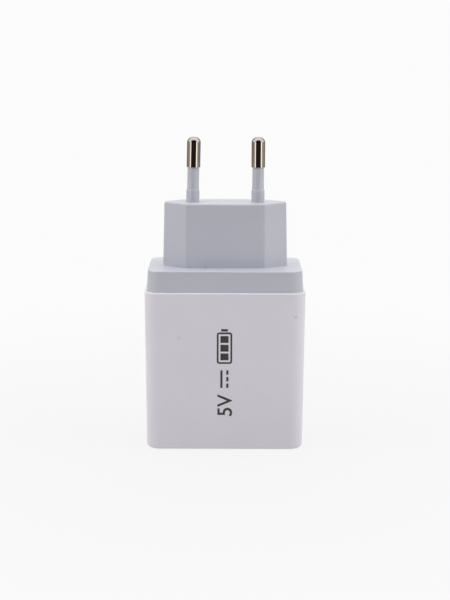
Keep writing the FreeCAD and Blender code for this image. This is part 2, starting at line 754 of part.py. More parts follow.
def transformer_bobbin():
    """Moulded tube on the middle leg, with end flanges and a rail of terminals under each."""
    body = on_board("transformer_bobbin", "0", TRANSFORMER_Z)
    tube = sketch_on(body, "XZ_Plane", "tube")
    rectangle(tube, TUBE_HALF_X, TUBE_HALF_Z, "0", "core_centre")
    pad(body, tube, f"2 * {BOBBIN_HALF}", both=True)
    rim_z = f"{TUBE_HALF_Z} + winding_thick + bobbin_rim"
    for sign in (-1, 1):
        flange = sketch_on(body, "XZ_Plane", "flange", f"{sign} * {BOBBIN_HALF}")
        span(flange, f"-({flange_half_x()})", flange_half_x(), "rail_tall / 2", f"core_centre + {rim_z}")
        pad(body, flange, "bobbin_flange", flip=(sign > 0))
        rail = sketch_on(body, "XY_Plane", "rail")
        outer = f"{sign} * ({RAIL_INNER} + rail_depth)"
        span(rail, "-rail_width / 2", "rail_width / 2", f"{sign} * {RAIL_INNER}", outer)
        pad(body, rail, "rail_tall")
    passage = sketch_on(body, "XZ_Plane", "leg_passage")
    rectangle(passage, "core_middle / 2 + bobbin_gap", "core_thick / 2 + bobbin_gap", "0", "core_centre")
    pocket(body, passage, "4 * core_half", both=True)
    sockets = sketch_on(body, "XY_Plane", "terminal_sockets")
    for x, y in terminal_places():
        rectangle(sockets, "terminal_thick / 2", "terminal_thick / 2", x, y)
    pocket(body, sockets, "terminal_sunk", flip=True)


def flange_half_x():
    """The flange fills the core's window between the outer legs."""
    return "(core_width / 2 - core_leg - bobbin_gap)"


def terminal_places():
    """Four square terminals in the rail under each end of the bobbin."""
    for sign in (-1, 1):
        for step in (-1.5, -0.5, 0.5, 1.5):
            yield f"{step} * terminal_pitch", f"{sign} * ({RAIL_INNER} + rail_depth / 2)"


def transformer_pins():
    """Square terminals pressed into the rails and passed through the board."""
    body = on_board("transformer_pins", "0", TRANSFORMER_Z)
    body.AllowCompound = True
    terminals = sketch_on(body, "XY_Plane", "terminals", "terminal_sunk")
    for x, y in terminal_places():
        rectangle(terminals, "terminal_thick / 2", "terminal_thick / 2", x, y)
        room = "terminal_thick / 2 + lead_gap"
        slots.append((x, f"{TRANSFORMER_Z} + {y}", room, room))
    pad(body, terminals, f"terminal_sunk + {LEAD_LENGTH}", flip=True)


def transformer_winding():
    """The wound copper between the flanges, as one rounded block round the tube."""
    body = on_board("transformer_winding", "0", TRANSFORMER_Z)
    length = f"2 * ({RAIL_INNER} - bobbin_gap)"
    wound = sketch_on(body, "XZ_Plane", "wound")
    rectangle(wound, f"{TUBE_HALF_X} + winding_thick", f"{TUBE_HALF_Z} + winding_thick", "0", "core_centre")
    pad(body, wound, length, both=True)
    round_edges(body, "winding_round", lambda edge: edge.Length > value(length) - TOUCH
                and abs(edge.Vertexes[0].Y - edge.Vertexes[-1].Y) > RISE)
    tube = sketch_on(body, "XZ_Plane", "tube")
    rectangle(tube, TUBE_HALF_X, TUBE_HALF_Z, "0", "core_centre")
    pocket(body, tube, "4 * core_half", both=True)


def can_capacitor(label, size, x, z):
    """Aluminium can with a crimped foot, standing on two leads."""
    body = on_board(label, x, z)
    radius = f"{size}_dia / 2"
    section = sketch_on(body, "XZ_Plane", "section")
    polygon(section, [
        ("0", "0"),
        (radius, "0"),
        (radius, "crimp_rise"),
        (f"{radius} - crimp_depth", "crimp_rise + crimp_depth"),
        (radius, "crimp_rise + 2 * crimp_depth"),
        (radius, f"{size}_tall - can_bevel"),
        (f"{radius} - can_bevel", f"{size}_tall"),
        ("0", f"{size}_tall"),
    ])
    revolve(body, section)
    drop_leads(body, x, z, f"{size}_pitch")


def drum_choke():
    """Ferrite drum on two leads, and the wire wound on its waist."""
    drum = on_board("choke_core", COLUMN_X, CHOKE_Z)
    section = sketch_on(drum, "XZ_Plane", "section")
    upper = "choke_tall - choke_flange"
    polygon(section, [
        ("0", "0"),
        ("choke_dia / 2", "0"),
        ("choke_dia / 2", "choke_flange"),
        ("choke_waist / 2", "choke_flange"),
        ("choke_waist / 2", upper),
        ("choke_dia / 2", upper),
        ("choke_dia / 2", "choke_tall"),
        ("0", "choke_tall"),
    ])
    revolve(drum, section)
    drop_leads(drum, COLUMN_X, CHOKE_Z, "choke_pitch")
    winding = on_board("choke_winding", COLUMN_X, CHOKE_Z)
    ring = sketch_on(winding, "XZ_Plane", "ring")
    span(ring, "choke_waist / 2", "choke_waist / 2 + choke_wire", "choke_flange", upper)
    revolve(winding, ring)


def disc_capacitor():
    """Safety disc standing on edge on two leads."""
    body = on_board("y_capacitor", COLUMN_X, DISC_Z)
    centre = "(disc_lift + disc_dia / 2)"
    disc = sketch_on(body, "XZ_Plane", "disc")
    circle(disc, "disc_dia / 2", "0", centre)
    pad(body, disc, "disc_thick", both=True)
    bevel_edges(body, "disc_bevel", lambda edge: edge.Closed)
    drop_leads(body, COLUMN_X, DISC_Z, "disc_pitch", centre)


def package(label, size, rows, x, z, back=False, through=False):
    """Moulded package with a row of bent legs along each side, flat on or through the board."""
    body = on_board(label, x, z, back)
    block = sketch_on(body, "XY_Plane", "package", "chip_lift")
    rectangle(block, f"{size}_across / 2", f"{size}_along / 2")
    pad(body, block, f"{size}_tall")
    thick = f"{size}_leg_thick"
    rooted = f"({size}_across / 2 - {thick})"
    end = f"{size}_span / 2"
    knee = f"(({size}_across + {size}_span) / 4)"
    low = f"chip_lift + {size}_tall / 2 - {thick} / 2"
    high = f"{low} + {thick}"
    flat_leg = [(rooted, low), (knee, low), (knee, "0"), (end, "0"), (end, thick),
                (f"{knee} + {thick}", thick), (f"{knee} + {thick}", high), (rooted, high)]
    straight_leg = [(rooted, low), (f"{end} - {thick}", low), (f"{end} - {thick}", f"-{LEAD_LENGTH}"),
                    (end, f"-{LEAD_LENGTH}"), (end, high), (rooted, high)]
    for row in range(rows):
        offset = f"({row} - {rows - 1} / 2) * {size}_pitch"
        legs = sketch_on(body, "XZ_Plane", "legs", f"-({offset})")
        for sign in (-1, 1):
            corners = straight_leg if through else flat_leg
            polygon(legs, [(f"{sign} * ({place})", height) for place, height in corners])
            if through:
                slots.append((f"{x} + {sign} * ({end} - {thick} / 2)", f"{z} + {offset}",
                              f"{thick} / 2 + lead_gap", f"{size}_leg_wide / 2 + lead_gap"))
        pad(body, legs, f"{size}_leg_wide", both=True)


def fuse():
    """Tube fuse lying on the board between capped ends, its leads bent down."""
    body = on_board("fuse", FUSE_X, TOP_ROW_Z)
    centre = "(fuse_dia / 2 + fuse_cap_rim)"
    tube = sketch_on(body, "YZ_Plane", "tube")
    circle(tube, "fuse_dia / 2", "0", centre)
    pad(body, tube, "fuse_body", both=True)
    for sign in (-1, 1):
        cap = sketch_on(body, "YZ_Plane", "cap", f"{sign} * fuse_body / 2")
        circle(cap, "fuse_dia / 2 + fuse_cap_rim", "0", centre)
        pad(body, cap, "fuse_cap", flip=(sign > 0))
    leads = sketch_on(body, "XZ_Plane", "leads")
    for sign in (-1, 1):
        rooted = f"{sign} * (fuse_body / 2 - fuse_lead)"
        inner = f"{sign} * (fuse_span / 2 - fuse_lead / 2)"
        outer = f"{sign} * (fuse_span / 2 + fuse_lead / 2)"
        low = f"{centre} - fuse_lead / 2"
        high = f"{centre} + fuse_lead / 2"
        foot = f"-{LEAD_LENGTH}"
        polygon(leads, [(rooted, low), (inner, low), (inner, foot),
                        (outer, foot), (outer, high), (rooted, high)])
        room = "fuse_lead / 2 + lead_gap"
        slots.append((f"{FUSE_X} + {sign} * fuse_span / 2", TOP_ROW_Z, room, room))
    pad(body, leads, "fuse_lead", both=True)


def wire(label, sign):
    """Insulated wire from a pin's solder cup down and over into the board."""
    x = f"({sign} * pin_pitch / 2 - {TAIL_END} * tan({TILT[sign]}))"
    body = new_body(label, x)
    cup_mouth = f"({NECK_TOP} - {TAIL_END})"
    top = f"{cup_mouth} - wire_strip"
    end = f"{BOARD_FRONT} - wire_strip"
    path = sketch_on(body, "YZ_Plane", "path")
    turns = [("0", top), ("0", f"{WIRE_Z} + wire_bend"), ("wire_bend", WIRE_Z), (end, WIRE_Z)]
    points = [FreeCAD.Vector(value(y), value(z), 0) for y, z in turns]
    for place, (here, there) in enumerate(zip(points, points[1:])):
        path.addGeometry(Part.LineSegment(here, there))
        hold_point(path, place, 1, *turns[place])
        if place:
            path.addConstraint(Sketcher.Constraint("Coincident", place - 1, 2, place, 1))
    hold_point(path, len(turns) - 2, 2, *turns[-1])
    section = sketch_on(body, "XY_Plane", "section", top)
    circle(section, "wire_dia / 2")
    jacket = body.newObject("PartDesign::AdditivePipe", "jacket")
    jacket.Profile = section
    jacket.Spine = (path, ["Edge1", "Edge2", "Edge3"])
    jacket.Transition = "Right corner"
    doc.recompute()
    into_cup = sketch_on(body, "XY_Plane", "cup_end", top)
    circle(into_cup, "wire_core_dia / 2")
    pad(body, into_cup, "wire_strip + cup_depth - part_gap")
    into_board = sketch_on(body, "XZ_Plane", "board_end", f"-({end})")
    circle(into_board, "wire_core_dia / 2", "0", WIRE_Z)
    pad(body, into_board, f"wire_strip + {LEAD_LENGTH}", flip=True)
    round_holes.append((x, WIRE_Z, "wire_core_dia / 2 + lead_gap"))


def main_board():
    """Upright board with a hole or slot for every lead that the components registered."""
    body = on_board("main_board", "0", "0")
    outline = sketch_on(body, "XY_Plane", "outline")
    span(outline, f"-{BOARD_HALF}", BOARD_HALF, BOARD_FOOT, BOARD_TOP)
    pad(body, outline, "board_thick", flip=True)
    drilling = sketch_on(body, "XY_Plane", "drilling")
    for x, z, radius in round_holes:
        circle(drilling, radius, x, z)
    pocket(body, drilling, "board_thick")
    for first in range(0, len(slots), SLOTS_TOGETHER):
        routing = sketch_on(body, "XY_Plane", "routing")
        for x, z, half_x, half_z in slots[first:first + SLOTS_TOGETHER]:
            rectangle(routing, half_x, half_z, x, z)
        pocket(body, routing, "board_thick")


def write_parts():
    """Check every object, then write each sub-part under its label."""
    doc.recompute()
    for item in doc.Objects:
        if "Invalid" in item.State or "Error" in item.State:
            raise RuntimeError(f"{item.Label} failed: {item.State}")
    for node in nodes:
        if node.Shape.isNull() or not node.Shape.isValid():
            raise RuntimeError(f"{node.Label} has no valid shape")
    os.makedirs("parts", exist_ok=True)
    for node in nodes:
        node.Shape.exportStep(f"parts/{node.Label}.step")


fill_sheet()
main_housing()
plug_cover()
for side, direction in (("left", LEFT), ("right", RIGHT)):
    contact_pin(side, direction)
    pin_sleeve(side, direction)
for port in PORTS:
    usb_shell(port)
    usb_tongue(port)
    usb_contacts(port)
transformer_core("transformer_core_lower", -1)
transformer_core("transformer_core_upper", 1)
transformer_bobbin()
transformer_winding()
transformer_pins()
can_capacitor("bulk_capacitor_1", "bulk", f"-{COLUMN_X}", BULK_HIGH_Z)
can_capacitor("bulk_capacitor_2", "bulk", f"-{COLUMN_X}", BULK_LOW_Z)
can_capacitor("output_capacitor_1", "output", f"-{COLUMN_X}", OUTPUT_Z)
can_capacitor("output_capacitor_2", "output", COLUMN_X, OUTPUT_Z)
drum_choke()
disc_capacitor()
package("optocoupler", "opto", 2, COLUMN_X, OPTO_Z, through=True)
package("bridge_rectifier", "bridge", 2, BRIDGE_X, TOP_ROW_Z)
package("switching_controller", "chip", 4, BRIDGE_X, TOP_ROW_Z, back=True)
package("synchronous_rectifier", "chip", 4, "0", TRANSFORMER_Z, back=True)
fuse()
wire("wire_live", LEFT)
wire("wire_neutral", RIGHT)
main_board()
write_parts()
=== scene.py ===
"""Looks of a USB wall charger that stands on its port face with its pins up.

Metres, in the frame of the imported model: +Z up, the printed front faces -Y.
"""
import json
import math

import bmesh
import bpy
from mathutils import Matrix, Vector


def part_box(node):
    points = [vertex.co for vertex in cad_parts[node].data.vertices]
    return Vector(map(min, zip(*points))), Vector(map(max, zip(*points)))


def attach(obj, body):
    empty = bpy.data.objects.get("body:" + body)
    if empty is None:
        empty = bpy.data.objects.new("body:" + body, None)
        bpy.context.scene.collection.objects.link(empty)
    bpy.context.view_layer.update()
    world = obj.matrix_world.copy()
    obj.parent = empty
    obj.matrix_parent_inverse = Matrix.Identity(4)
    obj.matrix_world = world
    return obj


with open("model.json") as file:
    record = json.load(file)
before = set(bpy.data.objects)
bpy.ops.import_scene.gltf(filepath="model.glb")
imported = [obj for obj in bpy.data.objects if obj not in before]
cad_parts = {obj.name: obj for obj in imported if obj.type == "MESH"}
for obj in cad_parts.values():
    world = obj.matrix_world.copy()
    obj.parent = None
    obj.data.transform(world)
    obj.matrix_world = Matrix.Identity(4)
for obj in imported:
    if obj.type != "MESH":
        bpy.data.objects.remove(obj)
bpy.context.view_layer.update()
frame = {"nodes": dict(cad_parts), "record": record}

MM = 0.001

# Camera, as the photograph was taken
CAMERA_PLACE = Vector((0.0, -399.7, 116.75)) * MM
CAMERA_PITCH = math.radians(10.67)      # below the horizon
CAMERA_ROLL = math.radians(0.2)
LENS = 83.0                             # millimetres, on a 36 mm long side

# Floor and backdrop
FLOOR_RADIUS = 500 * MM
FLOOR_SIDES = 96
FLOOR_DROP = 0.2 * MM                   # under the port face
FLOOR_FADE = (180 * MM, 460 * MM)       # it melts into the backdrop between these radii
FLOOR_WHITE = (0.945, 0.985)            # as seen, near the charger and far from it; painted darker near it, as shade
FLOOR_PAINTED_SHADE_SPAN = (20 * MM, 230 * MM)  # radii where the painted shade near the charger ends and far begins
FLOOR_BOUNCE = (0.55, 0.74)             # glow given back to the charger as painted bounce light, near and far
# radii where the painted shadow near the charger in that glow ends
FLOOR_PAINTED_SHADOW_SPAN = (12 * MM, 110 * MM)
FLOOR_SHADOW = 0.12                     # share of the floor that answers to the light
FLOOR_PAPER = 0.8                       # grey of that share
BACKDROP_WHITE = 0.97
BACKDROP_CONE = (0.82, 0.92)            # cosine off its middle where a reflection ends and is full

# Tints of the light
WARM = (1.03, 1.0, 0.955)               # strips
COOL = (0.95, 1.0, 1.03)                # upper sides
CLEAR = (0.995, 1.0, 1.0)               # roof and floor
BROWN = (1.18, 1.0, 0.81)               # walls
DARK = (0.036, 0.023, 0.016)            # room behind the camera

# What the studio gives back at three heights, as (swing, level, tint).
# The swing is 0 behind the camera and 1 at the backdrop.
ROOM = (
    (0.0, 1.0, DARK), (0.238, 1.0, DARK),
    (0.247, 2.2, WARM), (0.285, 2.8, WARM), (0.325, 1.1, WARM),
    (0.40, 0.58, BROWN), (0.8, 0.2, BROWN), (1.0, 0.2, BROWN),
)
UPPER = (
    (0.0, 0.0, COOL), (0.22, 0.0, COOL), (0.26, 0.85, COOL), (0.34, 1.25, COOL), (0.5, 1.9, COOL),
    (0.6, 0.6, BROWN), (0.78, 0.55, BROWN), (0.88, 1.1, CLEAR), (1.0, 1.15, CLEAR),
)
ROOF = (
    (0.2, 1.05, CLEAR), (0.5, 1.8, CLEAR), (0.64, 1.7, CLEAR),
    (0.72, 0.65, BROWN), (0.81, 1.6, CLEAR), (1.0, 1.7, CLEAR),
)
SWING_LIFT = 0.5                        # how much the height of a ray counts in its swing
ROOM_TOP = (0.1, 0.3)                   # sine of the elevation where the room ends
ROOF_EDGE = (0.58, 0.92)                # and where the roof begins
SIDE_LEAN = 0.05                        # more light from the right by this share

# Finishes, with colours as they look on screen, 0 to 255, and lengths in millimetres
HOUSING = ((243, 239, 248), (240, 236, 246), 0.45)  # colour, shade, roughness
COVER = ((210, 211, 222), (207, 208, 220), 0.4)
SLEEVE = ((209, 211, 221), (206, 208, 219), 0.13)
PLASTIC_IOR = 1.5
PLASTIC_SPREAD = 0.04                   # roughness either side of its mean
FLOW_SHARE = 0.6                        # how far the flow mottle goes towards the shade
PLAIN = {                               # colour, shade, roughness, grain, relief
    "tongue_plastic": ((232, 231, 226), (224, 223, 217), 0.45, 2.0, 0.004),
    "ferrite": ((52, 52, 55), (40, 40, 43), 0.6, 0.4, 0.02),
    "bobbin_plastic": ((30, 30, 30), (24, 24, 24), 0.45, 2.0, 0.005),
    "can_sleeve": ((26, 31, 44), (22, 26, 38), 0.25, 4.0, 0.004),
    "disc_coat": ((36, 78, 148), (30, 68, 132), 0.3, 1.2, 0.02),
    "package_resin": ((22, 22, 22), (17, 17, 18), 0.55, 0.5, 0.008),
    "fuse_tube": ((206, 200, 186), (196, 189, 174), 0.3, 1.0, 0.005),
    "wire_jacket_brown": ((92, 54, 32), (80, 46, 28), 0.4, 1.2, 0.008),
    "wire_jacket_blue": ((34, 74, 168), (30, 66, 150), 0.4, 1.2, 0.008),
}
PLAIN_SPREAD = 0.075
RELIEF_GRAIN = 0.3                      # grain of the relief, as a share of the mottle's
PLATED = {                              # colour, worn colour
    "contact_metal": ((222, 178, 96), (206, 160, 84)),
    "tinned_terminal": ((188, 188, 184), (170, 170, 168)),
}
WOUND = {                               # colour, shade painted in the grooves between the turns, pitch of the turns, metallic
    "winding_tape": ((224, 186, 42), (206, 166, 30), 3.2, 0.0),
    "enamelled_copper": ((176, 90, 46), (120, 56, 28), 0.35, 0.9),
}
NICKEL = ((183, 179, 176), (172, 167, 163))
SHEET_STEEL = ((196, 196, 198), (170, 170, 173))
SOLDER_MASK = ((28, 92, 56), (22, 74, 46))
WEAVE_PITCH = 0.08 * math.tau           # of the laminate under the mask
INK = ((46, 44, 42), (74, 71, 69))
NOISE_ROUGHNESS = 0.55

# Dust specks, as (place across, depth behind the front, height, radius, strength) in millimetres
HOUSING_SPECKS = (
    (20.19, 0.17, 39.15, 0.5, 0.2),
    (-13.15, 0.1, 33.05, 0.8, 0.09),
    (21.15, 0.65, 28.9, 0.45, 0.08),
)
COVER_SPECKS = ((-5.65, 0.0, 52.35, 0.6, 0.18),)
NECK_FRONT = -7.26                      # front of the neck at its foot
SPECK_EDGE = (0.3, 1.2)                 # a speck fades out between these shares of its radius
DUST = (70, 66, 62)

# Printed marks on the front, in millimetres along and across the reading direction
BODY_DRAFT = math.radians(0.55)         # lean of the front
PRINT_FOOT = 10.05
PRINT_MIDDLE = -0.1
PRINT_THICK = 0.02
PRINT_GAP = 1.9                         # between one mark and the next
PRINT_WELD = 1e-4                       # points nearer than this become one
NUMERAL_TALL = 4.3
NUMERAL_WEIGHT = 0.06                   # added to the strokes
CAPITAL_SHARE = 0.72                    # height of a capital in the built-in face, of its size
SUPPLY_LONG = 5.2
SUPPLY_LINE = 0.62
SUPPLY_APART = 1.7
SUPPLY_DASHES = 3
DASH_GAP = 1 / 3                        # of the pitch of the dashes
BATTERY_LONG = 9.2
BATTERY_WIDE = 4.4
BATTERY_LINE = 0.5
BATTERY_ROUND = 0.7
BATTERY_STEPS = 5                       # facets in a rounded corner
BATTERY_NUB = (0.7, 1.9)                # its terminal, long and wide
BATTERY_BARS = 3
BAR_GAP = 0.55


def srgb(colour):
    """A colour as it looks on screen, 0 to 255, as linear light with full alpha."""
    return tuple(to_linear(part / 255) for part in colour) + (1.0,)


def to_linear(part):
    """One part of a colour on screen, 0 to 1, as linear light."""
    return part / 12.92 if part <= 0.04045 else ((part + 0.055) / 1.055) ** 2.4


def grey(level):
    return (level, level, level, 1.0)


def lamp(level, tint):
    """A level of light with a tint, as a colour."""
    return tuple(level * part for part in tint) + (1.0,)


def lamps(rows):
    """Stops of a ramp from rows of place, level and tint."""
    return [(place, lamp(level, tint)) for place, level, tint in rows]


class Field:
    """A value over a surface: sums with it add Math nodes, and add() puts in any other node."""

    def __init__(self, tree, socket=None):
        self.tree = tree
        self.socket = socket

    def add(self, kind, settings=None, inputs=None, output=0):
        """A node with its settings, then the values or links of its sockets."""
        node = self.tree.nodes.new(kind)
        for name, setting in (settings or {}).items():
            if name == "stops":
                lay_stops(node.color_ramp, setting)
            else:
                setattr(node, name, setting)
        feed(self.tree, node, inputs or {})
        return Field(self.tree, node.outputs[output])

    def other(self, output):
        """Another output of the same node."""
        return Field(self.tree, self.socket.node.outputs[output])

    def math(self, operation, *terms):
        return self.add("ShaderNodeMath", {"operation": operation}, dict(enumerate(terms)))

    def __add__(self, other):
        return self.math("ADD", self, other)

    def __rsub__(self, other):
        return self.math("SUBTRACT", other, self)

    def __mul__(self, other):
        return self.math("MULTIPLY", self, other)

    def __truediv__(self, other):
        return self.math("DIVIDE", self, other)

    def __neg__(self):
        return self.math("MULTIPLY", self, -1.0)

    __radd__ = __add__
    __rmul__ = __mul__

    def root(self):
        return self.math("SQRT", self)

    def angle_over(self, other):
        """The angle whose tangent is this over the other, in radians."""
        return self.math("ARCTAN2", self, other)

    def larger(self, other):
        return self.math("MAXIMUM", self, other)

    def wave(self, pitch):
        """A sine along the field, with one swing to each pitch."""
        return self.math("SINE", self * (math.tau / pitch))

    def span(self, low, high):
        """A number that is low where the field is 0 and high where it is 1."""
        return low + (high - low) * self

    def rise(self, low, high):
        """0 where the field is below low and 1 above high, with a soft climb between."""
        return self.add("ShaderNodeMapRange", {"interpolation_type": "SMOOTHSTEP"},
                        {"Value": self, "From Min": low, "From Max": high})

    def between(self, first, second):
        """The first colour where the field is 0, the second where it is 1."""
        return self.add("ShaderNodeMix", {"data_type": "RGBA"},
                        {0: self, 6: first, 7: second}, output=2)

    def tones(self, first, second):
        """The same for two colours as they look on screen."""
        return self.between(srgb(first), srgb(second))

    def ramp(self, stops):
        return self.add("ShaderNodeValToRGB", {"stops": stops}, {"Fac": self})

    def split(self):
        """The three parts of a vector."""
        x = self.add("ShaderNodeSeparateXYZ", inputs={0: self})
        return x, x.other(1), x.other(2)

    def stretched(self, *factors):
        """A vector with each of its three parts multiplied."""
        return self.add("ShaderNodeVectorMath", {"operation": "MULTIPLY"}, {0: self, 1: factors})

    def noise(self, grain, detail=3.0):
        """Noise with features of a given size, from 0 to 1."""
        return self.add("ShaderNodeTexNoise", None, {
            "Vector": self, "Scale": 1 / grain, "Detail": detail, "Roughness": NOISE_ROUGHNESS})

    def away_from(self, point):
        """Distance from a point."""
        return self.add("ShaderNodeVectorMath", {"operation": "DISTANCE"},
                        {0: self, 1: point}, output=1)

    def camera_ray(self):
        """1 where the camera looks."""
        return self.add("ShaderNodeLightPath", output="Is Camera Ray")

    def mirror_ray(self):
        """1 where a gloss or a clear piece looks."""
        gloss = self.add("ShaderNodeLightPath", output="Is Glossy Ray")
        return gloss.larger(gloss.other("Is Transmission Ray"))

    def bump(self, strength, depth):
        return self.add("ShaderNodeBump", None,
                        {"Strength": strength, "Distance": depth, "Height": self})


def feed(tree, node, inputs):
    """Link a node's sockets to fields, or set them to values."""
    for place, entry in inputs.items():
        if isinstance(entry, Field):
            tree.links.new(entry.socket, node.inputs[place])
        else:
            node.inputs[place].default_value = entry


def lay_stops(ramp, stops):
    """Give a colour ramp its stops as (place, colour)."""
    while len(ramp.elements) < len(stops):
        ramp.elements.new(1.0)
    for element, (place, colour) in zip(ramp.elements, stops):
        element.position = place
        element.color = colour


def empty_tree(owner):
    """The nodes of a material or a world, cleared."""
    owner.use_nodes = True
    owner.node_tree.nodes.clear()
    return owner.node_tree


def finish(name, look):
    """A material whose sockets come from a function of the place on the piece."""
    material = bpy.data.materials.new(name)
    material.use_nodes = True
    tree = material.node_tree
    place = Field(tree).add("ShaderNodeTexCoord", output="Object")
    feed(tree, tree.nodes["Principled BSDF"], look(place))
    return material


def moulded(colour, shade, rough, specks=(), front=0.0):
    """Satin moulded plastic: spark texture, a faint flow mottle, and the specks that lie on it."""
    def look(place):
        flow = place.noise(grain=14 * MM, detail=2.0).rise(0.35, 0.65)
        tone = (FLOW_SHARE * flow).tones(colour, shade)
        for across, depth, height, radius, strength in specks:
            centre = (across * MM, (front + depth) * MM, height * MM)
            edge = (share * radius * MM for share in SPECK_EDGE)
            dust = 1.0 - place.away_from(centre).rise(*edge)
            tone = (strength * dust).between(tone, srgb(DUST))
        sheen = place.noise(grain=5 * MM)
        spark = place.noise(grain=0.16 * MM, detail=2.0)
        return {
            "Base Color": tone,
            "Roughness": sheen.span(rough - PLASTIC_SPREAD, rough + PLASTIC_SPREAD),
            "Normal": spark.bump(strength=0.06, depth=0.01 * MM),
            "IOR": PLASTIC_IOR,
        }
    return look


def nickel(place):
    """Bright nickel plate on a turned pin, with the faint rings of the turning."""
    rings = place.stretched(0, 0, 1).noise(grain=0.09 * MM, detail=2.0)
    haze = place.noise(grain=1.6 * MM)
    return {
        "Base Color": haze.tones(*NICKEL),
        "Metallic": 1.0,
        "Roughness": rings.span(0.02, 0.05) + haze.span(0.0, 0.02),
        "Normal": rings.bump(strength=0.04, depth=0.004 * MM),
    }


def sheet_steel(place):
    """Plated sheet, drawn along the receptacle."""
    drawn = place.stretched(1, 1, 0.05).noise(grain=0.12 * MM)
    return {
        "Base Color": drawn.tones(*SHEET_STEEL),
        "Metallic": 1.0,
        "Roughness": drawn.span(0.22, 0.38),
        "Normal": drawn.bump(strength=0.05, depth=0.004 * MM),
    }


def plated(colour, worn):
    """Thin bright plating on a stamping."""
    def look(place):
        haze = place.noise(grain=0.6 * MM)
        pits = place.noise(grain=0.08 * MM)
        return {
            "Base Color": haze.rise(0.4, 0.7).tones(colour, worn),
            "Metallic": 1.0,
            "Roughness": haze.span(0.18, 0.38),
            "Normal": pits.bump(strength=0.05, depth=0.003 * MM),
        }
    return look


def plain(colour, shade, rough, grain, relief):
    """A moulded, dipped or ground surface of one colour with its own grain."""
    def look(place):
        mottle = place.noise(grain * MM)
        pits = place.noise(RELIEF_GRAIN * grain * MM)
        return {
            "Base Color": mottle.rise(0.3, 0.7).tones(colour, shade),
            "Roughness": mottle.span(rough - PLAIN_SPREAD, rough + PLAIN_SPREAD),
            "Normal": pits.bump(strength=0.2, depth=relief * MM),
        }
    return look


def solder_mask(place):
    """Green mask over woven laminate."""
    across, _, height = place.split()
    weave = across.wave(WEAVE_PITCH * MM) * height.wave(WEAVE_PITCH * MM)
    cloud = place.noise(grain=3 * MM)
    return {
        "Base Color": cloud.tones(*SOLDER_MASK),
        "Roughness": cloud.span(0.3, 0.4),
        "Normal": weave.bump(strength=0.1, depth=0.005 * MM),
    }


def wound(colour, shade, pitch, metal):
    """Turns of wire or tape, one beside the other from front to back, with painted shade in the
    grooves between them.
    """
    def look(place):
        _, depth, _ = place.split()
        turns = depth.wave(pitch * MM)
        haze = place.noise(grain=1 * MM)
        return {
            # painted shade: the colour goes darker in the grooves between turns
            "Base Color": turns.rise(-1.0, 0.4).tones(shade, colour),
            "Metallic": metal,
            "Roughness": haze.span(0.3, 0.4),
            "Normal": turns.bump(strength=0.4, depth=0.04 * MM),
        }
    return look


def ink(place):
    """Pad-printed ink, a little thin in places."""
    cover = place.noise(grain=0.35 * MM, detail=4.0)
    pits = place.noise(grain=0.12 * MM)
    return {
        "Base Color": cover.rise(0.35, 0.75).tones(*INK),
        "Roughness": cover.span(0.42, 0.54),
        "Normal": pits.bump(strength=0.1, depth=0.004 * MM),
    }


def dress_nodes():
    """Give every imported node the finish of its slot."""
    housing_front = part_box("main_housing")[0].y / MM
    looks = {
        "housing_plastic": moulded(*HOUSING, HOUSING_SPECKS, housing_front),
        "cover_plastic": moulded(*COVER, COVER_SPECKS, NECK_FRONT),
        "sleeve_plastic": moulded(*SLEEVE),
        "pin_metal": nickel,
        "shell_steel": sheet_steel,
        "board_laminate": solder_mask,
    }
    for kind, rows in ((plain, PLAIN), (plated, PLATED), (wound, WOUND)):
        looks.update((slot, kind(*row)) for slot, row in rows.items())
    made = {slot: finish(slot + "_finish", look) for slot, look in looks.items()}
    for part in frame["record"]["subparts"]:
        node = frame["nodes"][part["node"]]
        node.material_slots[0].material = made[part["material_slot"]]


def bar(bm, low, high):
    """A flat rectangle between two corners."""
    made = bmesh.ops.create_grid(bm, x_segments=1, y_segments=1, size=0.5)["verts"]
    bmesh.ops.scale(bm, verts=made, vec=(high[0] - low[0], high[1] - low[1], 1))
    bmesh.ops.translate(bm, verts=made, vec=((low[0] + high[0]) / 2, (low[1] + high[1]) / 2, 0))
    return made


def numerals(bm, start):
    """The plain voltage, set in the built-in face and made a mesh."""
    curve = bpy.data.curves.new("voltage", "FONT")
    curve.body = "5V"
    curve.size = NUMERAL_TALL / CAPITAL_SHARE
    curve.offset = NUMERAL_WEIGHT
    text = bpy.data.objects.new("voltage", curve)
    bpy.context.scene.collection.objects.link(text)
    shaped = text.evaluated_get(bpy.context.evaluated_depsgraph_get())
    mesh = bpy.data.meshes.new_from_object(shaped)
    bpy.data.objects.remove(text)
    low = min(vertex.co.x for vertex in mesh.vertices)
    high = max(vertex.co.x for vertex in mesh.vertices)
    mesh.transform(Matrix.Translation((start - low, -NUMERAL_TALL / 2, 0)))
    bm.from_mesh(mesh)
    bpy.data.meshes.remove(mesh)
    return start + high - low


def supply_sign(bm, start):
    """The direct-current sign: one line over a row of dashes."""
    end = start + SUPPLY_LONG
    thick = SUPPLY_LINE / 2
    upper = SUPPLY_APART / 2
    bar(bm, (start, upper - thick), (end, upper + thick))
    pitch = SUPPLY_LONG / (SUPPLY_DASHES - DASH_GAP)
    for place in range(SUPPLY_DASHES):
        low = start + place * pitch
        bar(bm, (low, -upper - thick), (low + (1 - DASH_GAP) * pitch, -upper + thick))
    return end


